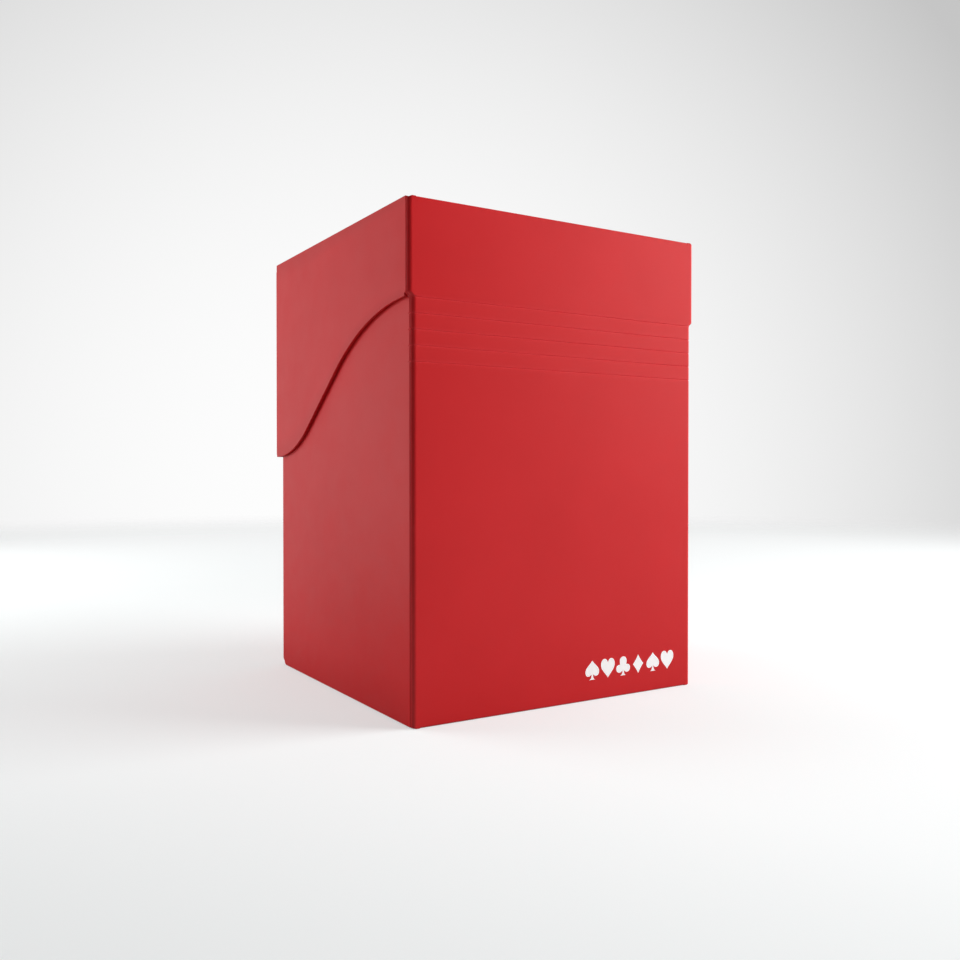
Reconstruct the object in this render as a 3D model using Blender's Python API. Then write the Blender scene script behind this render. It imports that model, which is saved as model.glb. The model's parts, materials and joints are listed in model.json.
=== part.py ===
"""Card deck box in folded polypropylene sheet: a tray, a five-crease living hinge, a lid and a loose divider.

Metres, +Z up. The origin is under the middle of the closed box, on the face it stands on. The hinge side
faces +Y and the lid's front panel faces -Y. Each panel of the folded sheet is one object.
"""

import math

import bmesh
import bpy
from mathutils import Vector

# Driving dimensions
TRAY_WIDTH = 0.0704
TRAY_DEPTH = 0.0701
HEIGHT = 0.0990
SHEET = 0.0006
FOLD_RADIUS = 0.0010
CREASE_COUNT = 5
CREASE_PITCH = 0.0030
FIRST_CREASE_BELOW_TOP = 0.01865
LID_FRONT_DROP = 0.0475
LID_REAR_DROP = 0.0185
LID_UPPER_ARC = 0.0590
LID_LOWER_ARC = 0.0331
LID_OPENING = math.pi

# Clearances
LAYER_GAP = 0.0002
FRONT_CLEARANCE = 0.00093
CREASE_GAP = 0.0001
FOLD_LAND = 0.0003
TOP_CLEARANCE = 0.0007
SWING_CLEARANCE = 0.0004
GROOVE_MOUTH_CLEARANCE = 0.0001
GROOVE_ROOT_CLEARANCE = 0.00004

# Living hinge: a shallow outer groove, the web and a wider inner groove at each crease
CREASE_DEPTH = 0.0001
WEB = 0.0002
INNER_GROOVE = 0.0004

# Tray details
SIDE_CORNER_RADIUS = 0.0080
TAB_DEPTH = 0.0110
LID_TOP_TAB_DEPTH = 0.0080
TAB_TAPER = 0.0020
THUMB_WIDTH = 0.0220
THUMB_DEPTH = 0.0090
EDGE_CORNER = 0.0008
EAR = 0.0007

# Divider
DIVIDER_SIDE_GAP = 0.0004
DIVIDER_HEADROOM = 0.0058
DIVIDER_TAB_WIDTH = 0.0300
DIVIDER_TAB_RISE = 0.0050
DIVIDER_CORNER = 0.0040

FOLD_SEGMENTS = 6
ARC_SEGMENTS = 12

RIGHT_ANGLE = math.pi / 2
LAYER = SHEET + LAYER_GAP
FOLD_END = FOLD_RADIUS + FOLD_LAND
PANEL_START = FOLD_END + CREASE_GAP

TRAY_SIDE = TRAY_WIDTH / 2
LID_SIDE = TRAY_SIDE + LAYER
LID_DEPTH = TRAY_DEPTH + FRONT_CLEARANCE + LAYER + SHEET
BACK = LID_DEPTH / 2
TRAY_FRONT = BACK - TRAY_DEPTH
LID_FRONT = -LID_DEPTH / 2
FRONT_TAB = TRAY_FRONT + LAYER
LID_FRONT_TAB = LID_FRONT + LAYER
BOTTOM_TAB = TRAY_SIDE - LAYER
LID_TOP_TAB = LID_SIDE - LAYER
TRAY_SIDE_TOP = HEIGHT - FOLD_RADIUS - LID_TOP_TAB_DEPTH - TOP_CLEARANCE
WEB_OUTER = BACK - CREASE_DEPTH
WEB_INNER = WEB_OUTER - WEB
PIVOT_Y = WEB_OUTER - WEB / 2
CREASE_TURN = LID_OPENING / CREASE_COUNT
GROOVE_MOUTH = 2 * (BACK - PIVOT_Y) * math.tan(CREASE_TURN / 2) + GROOVE_MOUTH_CLEARANCE
GROOVE_ROOT = WEB * math.tan(CREASE_TURN / 2) + GROOVE_ROOT_CLEARANCE


def crease_height(index):
    """Height of a crease, counted from the lowest."""
    from_top = CREASE_COUNT - 1 - index
    return HEIGHT - FIRST_CREASE_BELOW_TOP - from_top * CREASE_PITCH


def turning_axis(creases):
    """Fixed axis (y, z) that takes what lies above this many creases from rest to the fully open lid's pose.

    A point is the complex number y + iz, and each crease turns what is above it by CREASE_TURN towards +Y.
    """
    turn = complex(math.cos(CREASE_TURN), -math.sin(CREASE_TURN))
    shift, rotation = 0j, 1 + 0j
    for index in range(creases):
        crease = complex(PIVOT_Y, crease_height(index))
        shift += rotation * (crease - crease * turn)
        rotation *= turn
    fixed = shift / (1 - rotation)
    return fixed.real, fixed.imag


def tray_front_top():
    """Highest tray front that the lid's front tabs clear as the lid swings up about its axis."""
    axis_y, axis_z = turning_axis(CREASE_COUNT)
    sweep = axis_y - LID_FRONT_TAB - SHEET - SWING_CLEARANCE
    reach = axis_y - TRAY_FRONT
    return axis_z + math.sqrt(sweep * sweep - reach * reach)


LOWEST_CREASE = crease_height(0)
HIGHEST_CREASE = crease_height(CREASE_COUNT - 1)
TRAY_FRONT_TOP = tray_front_top()


def clear_scene():
    for obj in list(bpy.data.objects):
        bpy.data.objects.remove(obj, do_unlink=True)


def polypropylene(name, colour, roughness):
    material = bpy.data.materials.new(name)
    material.use_nodes = True
    shader = material.node_tree.nodes["Principled BSDF"]
    shader.inputs["Base Color"].default_value = (*colour, 1.0)
    shader.inputs["Roughness"].default_value = roughness
    shader.inputs["Metallic"].default_value = 0.0
    return material


def arc(centre, radius, start, end, segments=ARC_SEGMENTS):
    """Points on an arc, both ends included."""
    return [
        (
            centre[0] + radius * math.cos(start + (end - start) * step / segments),
            centre[1] + radius * math.sin(start + (end - start) * step / segments),
        )
        for step in range(segments + 1)
    ]


def rounded(points, radii, segments=3):
    """A polygon with the corners named in radii cut round."""
    result = []
    for index, point in enumerate(points):
        radius = radii.get(index, 0.0)
        if radius == 0.0:
            result.append(point)
            continue
        here = Vector(point)
        before = (Vector(points[index - 1]) - here).normalized()
        after = (Vector(points[(index + 1) % len(points)]) - here).normalized()
        half = before.angle(after) / 2
        middle = here + (before + after).normalized() * radius / math.sin(half)
        first = here + before * radius / math.tan(half) - middle
        last = here + after * radius / math.tan(half) - middle
        start = math.atan2(first.y, first.x)
        turn = math.atan2(last.y, last.x) - start
        turn = (turn + math.pi) % (2 * math.pi) - math.pi
        result += arc(middle, radius, start, start + turn, segments)
    return result


class Frame:
    """A flat sheet's outer face: an origin and two directions in it, with the outward normal u x v."""

    def __init__(self, origin, u, v):
        self.origin = Vector(origin)
        self.u = Vector(u)
        self.v = Vector(v)
        self.normal = self.u.cross(self.v)

    def at(self, point):
        return self.origin + self.u * point[0] + self.v * point[1]


def outline_edge(outline, start, end):
    """Index of the outline's edge that runs between two of its points."""
    for index, point in enumerate(outline):
        following = outline[(index + 1) % len(outline)]
        if math.dist(point, start) < 1e-7 and math.dist(following, end) < 1e-7:
            return index
    raise ValueError("the fold is not an edge of the outline")


def add_fold(mesh, frame, corners, land):
    """Bends a strip of the outer face through a right angle about one edge, then adds a flat land."""
    first, second = corners
    along = (second.co - first.co).normalized()
    outward = along.cross(frame.normal)
    previous = (first, second)
    stations = []
    for step in range(1, FOLD_SEGMENTS + 1):
        angle = RIGHT_ANGLE * step / FOLD_SEGMENTS
        stations.append((math.sin(angle) * FOLD_RADIUS, (1 - math.cos(angle)) * FOLD_RADIUS))
    stations.append((FOLD_RADIUS, FOLD_RADIUS + land))
    for out, down in stations:
        shift = outward * out - frame.normal * down
        current = (mesh.verts.new(first.co + shift), mesh.verts.new(second.co + shift))
        mesh.faces.new((previous[1], previous[0], current[0], current[1]))
        previous = current


def sheet_panel(name, frame, outline, material, folds=(), land=FOLD_LAND, parent=None):
    """A panel of the sheet: an outline in the frame, with folded edges given by their end points."""
    mesh = bmesh.new()
    corners = [mesh.verts.new(frame.at(point)) for point in outline]
    mesh.faces.new(corners)
    for start, end in folds:
        index = outline_edge(outline, start, end)
        add_fold(mesh, frame, (corners[index], corners[(index + 1) % len(corners)]), land)
    data = bpy.data.meshes.new(name)
    mesh.to_mesh(data)
    mesh.free()
    obj = bpy.data.objects.new(name, data)
    bpy.context.scene.collection.objects.link(obj)
    data.materials.append(material)
    thickness = obj.modifiers.new("sheet", "SOLIDIFY")
    thickness.thickness = SHEET
    thickness.offset = -1.0
    thickness.use_even_offset = True
    carry(obj, parent)
    return obj


def prism(name, profile, half_width):
    """A solid with one cross-section in Y and Z along X."""
    mesh = bmesh.new()
    face = mesh.faces.new([mesh.verts.new((half_width, y, z)) for y, z in profile])
    extruded = bmesh.ops.extrude_face_region(mesh, geom=[face])
    moved = [item for item in extruded["geom"] if isinstance(item, bmesh.types.BMVert)]
    bmesh.ops.translate(mesh, verts=moved, vec=(-2 * half_width, 0.0, 0.0))
    bmesh.ops.recalc_face_normals(mesh, faces=mesh.faces)
    data = bpy.data.meshes.new(name)
    mesh.to_mesh(data)
    mesh.free()
    obj = bpy.data.objects.new(name, data)
    bpy.context.scene.collection.objects.link(obj)
    return obj


def pivot(name, creases):
    """An empty on the axis about which everything above this many creases turns."""
    empty = bpy.data.objects.new(name, None)
    bpy.context.scene.collection.objects.link(empty)
    empty.location = (0.0, *turning_axis(creases))
    return empty


def carry(obj, parent):
    """Parents an object to a pivot without moving it in the world."""
    if parent is not None:
        obj.parent = parent
        obj.location = -parent.location


def mirrored(outline):
    """The outline seen from the other side, still counted anticlockwise."""
    return [(-u, v) for u, v in reversed(outline)]


def box_outline(left, bottom, right, top):
    return [(left, bottom), (right, bottom), (right, top), (left, top)]


# Frames of the outer faces. From outside, u runs to the right and v runs up.
def rear_frame():
    return Frame((0.0, BACK, 0.0), (-1.0, 0.0, 0.0), (0.0, 0.0, 1.0))


def front_frame(y):
    return Frame((0.0, y, 0.0), (1.0, 0.0, 0.0), (0.0, 0.0, 1.0))


def side_frame(side, x):
    """side is 1 for the +X wall and -1 for the -X wall."""
    return Frame((side * x, 0.0, 0.0), (0.0, side, 0.0), (0.0, 0.0, 1.0))


def down_frame(z):
    return Frame((0.0, 0.0, z), (1.0, 0.0, 0.0), (0.0, -1.0, 0.0))


def up_frame(z):
    return Frame((0.0, 0.0, z), (1.0, 0.0, 0.0), (0.0, 1.0, 0.0))


def side_outline(outline, side):
    """An outline drawn for the +X wall, with u as +Y, turned for either wall."""
    return outline if side == 1 else mirrored(outline)


def build_back_panel(material):
    side = TRAY_SIDE - FOLD_RADIUS
    ear = side - EAR
    turned = ear - CREASE_GAP
    outline = [
        (-turned, FOLD_RADIUS),
        (turned, FOLD_RADIUS),
        (turned, FOLD_END),
        (ear, FOLD_END),
        (ear, 0.0),
        (side, 0.0),
        (side, LOWEST_CREASE),
        (-side, LOWEST_CREASE),
        (-side, 0.0),
        (-ear, 0.0),
        (-ear, FOLD_END),
        (-turned, FOLD_END),
    ]
    folds = [
        ((-turned, FOLD_RADIUS), (turned, FOLD_RADIUS)),
        ((side, 0.0), (side, LOWEST_CREASE)),
        ((-side, LOWEST_CREASE), (-side, 0.0)),
    ]
    return sheet_panel("back_panel", rear_frame(), outline, material, folds)


def build_bottom_panel(material):
    side = BOTTOM_TAB - PANEL_START
    wide = TRAY_SIDE - LAYER
    rear = BACK - PANEL_START
    widened = FRONT_TAB + LAYER - CREASE_GAP
    front = TRAY_FRONT + FOLD_RADIUS
    outline = [
        (-side, -rear),
        (side, -rear),
        (side, -widened),
        (wide, -widened),
        (wide, -front),
        (-wide, -front),
        (-wide, -widened),
        (-side, -widened),
    ]
    folds = [((wide, -front), (-wide, -front))]
    return sheet_panel("bottom_panel", down_frame(0.0), outline, material, folds)


def thumb_notch():
    """The notch from right to left along the front panel's top edge."""
    half = THUMB_WIDTH / 2
    radius = (half * half + THUMB_DEPTH * THUMB_DEPTH) / (2 * THUMB_DEPTH)
    centre = (0.0, TRAY_FRONT_TOP - THUMB_DEPTH + radius)
    reach = math.asin(half / radius)
    return arc(centre, radius, reach - RIGHT_ANGLE, -reach - RIGHT_ANGLE)


def build_front_panel(material):
    side = TRAY_SIDE - FOLD_RADIUS / 2
    corners = rounded(
        box_outline(-side, PANEL_START, side, TRAY_FRONT_TOP),
        {2: EDGE_CORNER, 3: EDGE_CORNER},
    )
    right = [point for point in corners if point[0] > 0]
    left = [point for point in corners if point[0] <= 0]
    outline = left[:1] + right + thumb_notch() + left[1:]
    return sheet_panel("front_panel", front_frame(TRAY_FRONT), outline, material)


def build_tray_side(name, side, material):
    """Tray side wall: its top front corner is round so that the lid's front clears it as it swings."""
    rear = BACK - PANEL_START
    front = FRONT_TAB + PANEL_START
    crown = rounded(
        [(rear, TRAY_SIDE_TOP), (front, TRAY_SIDE_TOP), (front, 0.0)],
        {1: SIDE_CORNER_RADIUS},
        ARC_SEGMENTS,
    )[1:-1]
    outline = [(front, 0.0), (rear, 0.0), *rounded_rear_top(rear), *crown]
    frame = side_frame(side, TRAY_SIDE)
    return sheet_panel(name, frame, side_outline(outline, side), material)


def rounded_rear_top(rear):
    """Top rear corner of the tray side, cut round."""
    radius = SIDE_CORNER_RADIUS / 4
    centre = (rear - radius, TRAY_SIDE_TOP - radius)
    return arc(centre, radius, 0.0, RIGHT_ANGLE, 4)


def side_tab_folds(start, end, height, side):
    """The fold of a tab drawn for the +X wall, along u at one height, turned for either wall."""
    return [((start, height), (end, height))] if side == 1 else [((-end, height), (-start, height))]


def build_bottom_tab(name, side, material):
    """Tab folded up from the bottom panel, lying against the inside of the tray side."""
    rear = BACK - PANEL_START - LAYER
    front = FRONT_TAB + LAYER
    low = FOLD_RADIUS
    high = low + TAB_DEPTH
    outline = [(front, low), (rear, low), (rear - TAB_TAPER, high), (front + TAB_TAPER, high)]
    frame = side_frame(side, BOTTOM_TAB)
    folds = side_tab_folds(front, rear, low, side)
    return sheet_panel(name, frame, side_outline(outline, side), material, folds)


def build_front_tab(name, side, y, low, high, side_x, material, parent=None):
    """Tab folded in from a side wall, lying behind a front panel."""
    outer = side_x - FOLD_RADIUS
    inner = outer - TAB_DEPTH
    outline = [
        (outer, low),
        (outer, high),
        (inner, high - TAB_TAPER),
        (inner, low + TAB_TAPER),
    ]
    if side == -1:
        outline = [(-u, v) for u, v in outline]
        outline.reverse()
    fold = ((side * outer, low), (side * outer, high))
    folds = [fold if side == 1 else (fold[1], fold[0])]
    return sheet_panel(name, front_frame(y), outline, material, folds, parent=parent)


def bevel_crease_edge(obj, height, upward):
    """Cuts a panel's creased edge to the slopes of the outer and the inner groove."""
    sign = 1.0 if upward else -1.0
    far = height - sign * SHEET
    mouth = height + sign * GROOVE_MOUTH / 2
    root = height + sign * GROOVE_ROOT / 2
    inner = height + sign * INNER_GROOVE / 2
    outside = BACK + SHEET
    inside = BACK - FOLD_END - SHEET
    slope = (mouth - root) / CREASE_DEPTH
    section = [
        (outside, mouth + slope * SHEET),
        (WEB_OUTER, root),
        (WEB_INNER, root),
        (BACK - SHEET, inner),
        (inside, inner),
        (inside, far),
        (outside, far),
    ]
    edge = "lower" if upward else "upper"
    cutter = prism(f"{obj.name}_{edge}_crease_cutter", section, LID_SIDE + SHEET)
    cutter.hide_render = True
    cutter.display_type = "WIRE"
    cut = obj.modifiers.new("crease", "BOOLEAN")
    cut.operation = "DIFFERENCE"
    cut.solver = "EXACT"
    cut.object = cutter


def build_hinge_strip(name, index, material, parent):
    """Rigid strip between two creases, counted from the lowest, with its ends folded like the back panel's."""
    side = TRAY_SIDE - FOLD_RADIUS
    low = crease_height(index)
    high = crease_height(index + 1)
    outline = box_outline(-side, low, side, high)
    folds = [((side, low), (side, high)), ((-side, high), (-side, low))]
    strip = sheet_panel(name, rear_frame(), outline, material, folds, parent=parent)
    bevel_crease_edge(strip, low, True)
    bevel_crease_edge(strip, high, False)
    return strip


def build_lid_back_panel(material, parent):
    """Rear wall of the lid, as wide as the tray at the crease and as wide as the lid above it."""
    side = LID_SIDE - FOLD_RADIUS
    ear = side - EAR
    low = HIGHEST_CREASE
    widened = HIGHEST_CREASE + LAYER
    high = HEIGHT - PANEL_START
    outline = [
        (-side, low),
        (side, low),
        (side, widened),
        (side, HEIGHT),
        (ear, HEIGHT),
        (ear, high),
        (-ear, high),
        (-ear, HEIGHT),
        (-side, HEIGHT),
        (-side, widened),
    ]
    folds = [
        ((side, widened), (side, HEIGHT)),
        ((-side, HEIGHT), (-side, widened)),
    ]
    return sheet_panel("lid_back_panel", rear_frame(), outline, material, folds, parent=parent)


def build_lid_top_panel(material, parent):
    side = LID_TOP_TAB - PANEL_START
    front_side = LID_SIDE - LAYER
    rear_side = LID_SIDE - FOLD_RADIUS - EAR - CREASE_GAP
    rear = BACK - FOLD_RADIUS
    rear_widened = BACK - PANEL_START - LAYER + CREASE_GAP
    front_widened = LID_FRONT_TAB + LAYER - CREASE_GAP
    front = LID_FRONT + FOLD_RADIUS
    outline = [
        (-front_side, front),
        (front_side, front),
        (front_side, front_widened),
        (side, front_widened),
        (side, rear_widened),
        (rear_side, rear_widened),
        (rear_side, rear),
        (-rear_side, rear),
        (-rear_side, rear_widened),
        (-side, rear_widened),
        (-side, front_widened),
        (-front_side, front_widened),
    ]
    folds = [
        ((-front_side, front), (front_side, front)),
        ((rear_side, rear), (-rear_side, rear)),
    ]
    return sheet_panel("lid_top_panel", up_frame(HEIGHT), outline, material, folds, parent=parent)


def build_lid_front_panel(material, parent):
    side = LID_SIDE - FOLD_RADIUS / 2
    outline = rounded(
        box_outline(-side, HEIGHT - LID_FRONT_DROP, side, HEIGHT - PANEL_START),
        {0: EDGE_CORNER, 1: EDGE_CORNER},
    )
    return sheet_panel("lid_front_panel", front_frame(LID_FRONT), outline, material, parent=parent)


def lid_curve(front):
    """The lid side's lower edge from front to rear: a hollow arc, a straight and a full arc."""
    low = HEIGHT - LID_FRONT_DROP
    high = HEIGHT - LID_REAR_DROP
    fall = high - low
    run = BACK - front
    widest = (run * run + fall * fall) / (2 * fall)
    share = min(1.0, widest / (LID_UPPER_ARC + LID_LOWER_ARC))
    upper = LID_UPPER_ARC * share
    lower = LID_LOWER_ARC * share
    radii = upper + lower
    straight = math.sqrt(max(run * run + fall * fall - 2 * radii * fall, 0.0))
    slope = math.atan2(
        radii * run - straight * (radii - fall),
        straight * run + radii * (radii - fall),
    )
    hollow = arc((front, low + lower), lower, -RIGHT_ANGLE, slope - RIGHT_ANGLE)
    full = arc((BACK, high - upper), upper, RIGHT_ANGLE + slope, RIGHT_ANGLE, 2 * ARC_SEGMENTS)
    return hollow + full


def build_lid_side(name, side, material, parent):
    rear = BACK - PANEL_START
    front = LID_FRONT_TAB + PANEL_START
    curve = lid_curve(front)
    before = [point for point in curve if point[0] < rear]
    above, beyond = before[-1], curve[len(before)]
    share = (rear - above[0]) / (beyond[0] - above[0])
    end = (rear, above[1] + share * (beyond[1] - above[1]))
    outline = [*before, end, (rear, HEIGHT), (front, HEIGHT)]
    frame = side_frame(side, LID_SIDE)
    return sheet_panel(name, frame, side_outline(outline, side), material, parent=parent)


def build_lid_top_tab(name, side, material, parent):
    """Tab folded down from the lid's top, lying against the inside of the lid side."""
    rear = BACK - PANEL_START - LAYER
    front = LID_FRONT_TAB + LAYER
    high = HEIGHT - FOLD_RADIUS
    low = high - LID_TOP_TAB_DEPTH
    outline = [(front + TAB_TAPER, low), (rear - TAB_TAPER, low), (rear, high), (front, high)]
    frame = side_frame(side, LID_TOP_TAB)
    folds = side_tab_folds(rear, front, high, side)
    return sheet_panel(name, frame, side_outline(outline, side), material, folds, parent=parent)


def build_divider(material):
    """Loose divider, standing just clear of the bottom, with a raised tab to pull it by."""
    side = BOTTOM_TAB - SHEET - DIVIDER_SIDE_GAP
    low = LAYER
    crown = HEIGHT - SHEET - DIVIDER_HEADROOM
    shoulder = crown - DIVIDER_TAB_RISE
    tab = DIVIDER_TAB_WIDTH / 2
    outline = rounded(
        [
            (-side, low),
            (side, low),
            (side, shoulder),
            (tab + DIVIDER_TAB_RISE, shoulder),
            (tab, crown),
            (-tab, crown),
            (-tab - DIVIDER_TAB_RISE, shoulder),
            (-side, shoulder),
        ],
        {
            0: EDGE_CORNER,
            1: EDGE_CORNER,
            2: DIVIDER_CORNER,
            3: DIVIDER_CORNER / 2,
            4: DIVIDER_CORNER / 2,
            5: DIVIDER_CORNER / 2,
            6: DIVIDER_CORNER / 2,
            7: DIVIDER_CORNER,
        },
    )
    middle = (BACK - SHEET + FRONT_TAB + SHEET) / 2
    return sheet_panel("card_divider", front_frame(middle - SHEET / 2), outline, material)


def main():
    clear_scene()
    red = polypropylene("red_satin_sheet", (0.52, 0.022, 0.024), 0.42)
    strip_red = polypropylene("red_hinge_sheet", (0.54, 0.026, 0.028), 0.46)
    divider_red = polypropylene("red_divider_sheet", (0.50, 0.020, 0.022), 0.50)

    back = build_back_panel(red)
    bevel_crease_edge(back, LOWEST_CREASE, False)
    build_bottom_panel(red)
    build_front_panel(red)
    for label, side in (("left", -1), ("right", 1)):
        build_tray_side("side_panel_" + label, side, red)
        build_bottom_tab("bottom_tab_" + label, side, red)
        tray_tab_top = TRAY_FRONT_TOP - SIDE_CORNER_RADIUS / 2
        name = "front_tab_" + label
        build_front_tab(name, side, FRONT_TAB, PANEL_START, tray_tab_top, TRAY_SIDE, red)

    for index in range(CREASE_COUNT - 1):
        carrier = pivot(f"strip_axis_{index + 1}", index + 1)
        build_hinge_strip(f"hinge_strip_{index + 1}", index, strip_red, carrier)

    lid = pivot("lid_axis", CREASE_COUNT)
    lid_back = build_lid_back_panel(red, lid)
    bevel_crease_edge(lid_back, HIGHEST_CREASE, True)
    build_lid_top_panel(red, lid)
    build_lid_front_panel(red, lid)
    tab_low = HEIGHT - LID_FRONT_DROP
    tab_high = HEIGHT - PANEL_START
    for label, side in (("left", -1), ("right", 1)):
        build_lid_side("lid_side_" + label, side, red, lid)
        build_lid_top_tab("lid_top_tab_" + label, side, red, lid)
        name = "lid_front_tab_" + label
        build_front_tab(name, side, LID_FRONT_TAB, tab_low, tab_high, LID_SIDE, red, lid)

    build_divider(divider_red)


main()
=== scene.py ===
import json
import math

import bmesh
import bpy
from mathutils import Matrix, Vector


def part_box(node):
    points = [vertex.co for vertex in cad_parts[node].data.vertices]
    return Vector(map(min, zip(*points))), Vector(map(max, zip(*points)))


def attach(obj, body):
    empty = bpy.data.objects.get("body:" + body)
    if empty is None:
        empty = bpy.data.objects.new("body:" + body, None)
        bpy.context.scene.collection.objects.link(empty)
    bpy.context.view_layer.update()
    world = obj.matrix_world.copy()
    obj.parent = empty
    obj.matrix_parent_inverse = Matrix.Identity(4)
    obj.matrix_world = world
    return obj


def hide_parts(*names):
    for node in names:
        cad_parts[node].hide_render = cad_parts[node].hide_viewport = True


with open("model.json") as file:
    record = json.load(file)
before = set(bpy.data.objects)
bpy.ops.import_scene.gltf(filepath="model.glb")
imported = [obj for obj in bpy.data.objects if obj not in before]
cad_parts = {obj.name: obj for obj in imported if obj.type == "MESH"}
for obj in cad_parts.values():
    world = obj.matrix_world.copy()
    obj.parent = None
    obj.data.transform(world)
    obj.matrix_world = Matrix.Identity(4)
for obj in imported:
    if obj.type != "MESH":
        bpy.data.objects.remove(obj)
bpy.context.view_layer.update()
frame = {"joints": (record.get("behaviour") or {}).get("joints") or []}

MM = 0.001

# ---------------------------------------------------------------- sizes taken from the frame


def low(node):
    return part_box(node)[0]


def high(node):
    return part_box(node)[1]


SHEET = high("lid_side_right").x - low("lid_side_right").x
INK = 0.01 * MM                 # how far the printed mark stands out
BACK = high("back_panel").y - INK
TRAY_SIDE = high("side_panel_right").x
LID_SIDE = high("lid_side_right").x
TRAY_FRONT = low("front_panel").y
FRONT_TAB = low("front_tab_right").y
LID_FRONT = low("lid_front_panel").y
LID_FRONT_TAB = low("lid_front_tab_right").y
HEIGHT = high("lid_top_panel").z
LID_FLAP = high("lid_top_tab_right").x
FLOOR_FLAP = high("bottom_tab_right").x
TRAY_SIDE_TOP = high("side_panel_right").z
TRAY_FRONT_TOP = high("front_panel").z
LID_LOW = low("lid_front_panel").z
CREASES = [
    (high(below).z + low(above).z) / 2
    for below, above in (
        ("back_panel", "hinge_strip_1"),
        ("hinge_strip_1", "hinge_strip_2"),
        ("hinge_strip_2", "hinge_strip_3"),
        ("hinge_strip_3", "hinge_strip_4"),
        ("hinge_strip_4", "lid_back_panel"),
    )
]
HINGE_AXES = {joint["name"]: joint["pos_m"] for joint in frame["joints"] if "pos_m" in joint}
PIVOT_Y = HINGE_AXES["strip_1_fold"][1]

FOLD = 1.0 * MM                 # outside radius of the folds
FOLD_STEPS = 18                 # faces round a fold
FOLD_DIP = 0.25 * MM            # how far the top ends of the lid's vertical folds are pressed down
SCORE_DEPTH = 0.06 * MM         # depth of the scored line along a fold
SCORE_AT = 19                   # its place round a vertical fold, in degrees
SCORE_AT_EDGE = 58              # its place round the rear wall's top and bottom folds
EDGE_SCORE = 0.3                # share of its depth there
SCORE_WIDTH = 7                 # in degrees, like the next one
RIDGE_STEP = 20                 # the pale ridge, stress whitening with a painted highlight, lies this far beyond the painted-shade score
RIDGE_STRESS_AND_HIGHLIGHT = 0.8
SEAM = 1.35 * MM                # from a fold's outer corner to where the next panel takes over
RIM = 0.07 * MM                 # rounding of the cut edges
DIVIDER_RIM = 0.12 * MM
RIM_PAINTED_SHADE = -0.3                 # painted shade on the cut edges: a negative value that deepens their red
EDGE_ROUND = 0.4 * MM           # outer rounding of the folds along the rear panel's top and bottom
SIDE_LIFT = 0.25 * MM           # the tray sides end this far above the bottom
CLEAR = 0.05 * MM               # kept free between a panel's end and the seam beside it
SAME = 0.02 * MM                # stations closer than this count as one
NEAR = 0.001 * MM               # tolerance when a station is looked up
WEB = high("back_panel").y - PIVOT_Y  # thickness left in a crease
CREASE_DEPTH = BACK - PIVOT_Y - WEB / 2
CREASE_REACH = 0.62 * MM        # half width of the band that a crease takes up
GROOVE_HALF = 0.115 * MM        # half widths of the groove: at the face, at its root and on the inside
ROOT_HALF = 0.0525 * MM
INNER_HALF = 0.2 * MM
CORNER = 0.8 * MM               # radius of the panels' small cut corners
HAIRLINE = 0.01 * MM            # half of the slit that stays visible beside a fold
SLIT = 0.1 * MM                 # gap between neighbouring pieces
TAB_DEPTH = 11.0 * MM
TAB_TAPER = 2.0 * MM            # how much a flap narrows at each end towards its free edge
LID_UPPER_ARC = 59.0 * MM       # radii of the S-shaped lower edge of the lid's sides
LID_LOWER_ARC = 33.1 * MM
LID_REAR_LOW = HEIGHT - 18.5 * MM
QUARTER = math.pi / 2
SHARP_ANGLE = 38.0              # edges above this many degrees stay sharp

# ---------------------------------------------------------------- mesh building


def steps(start, end, count):
    """Even stations from start to end, both included."""
    return [start + (end - start) * k / count for k in range(count + 1)]


def merged(*lists):
    """Sorted stations without near duplicates."""
    result = []
    for value in sorted(v for one in lists for v in one):
        if not result or value - result[-1] > SAME:
            result.append(value)
    return result


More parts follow.
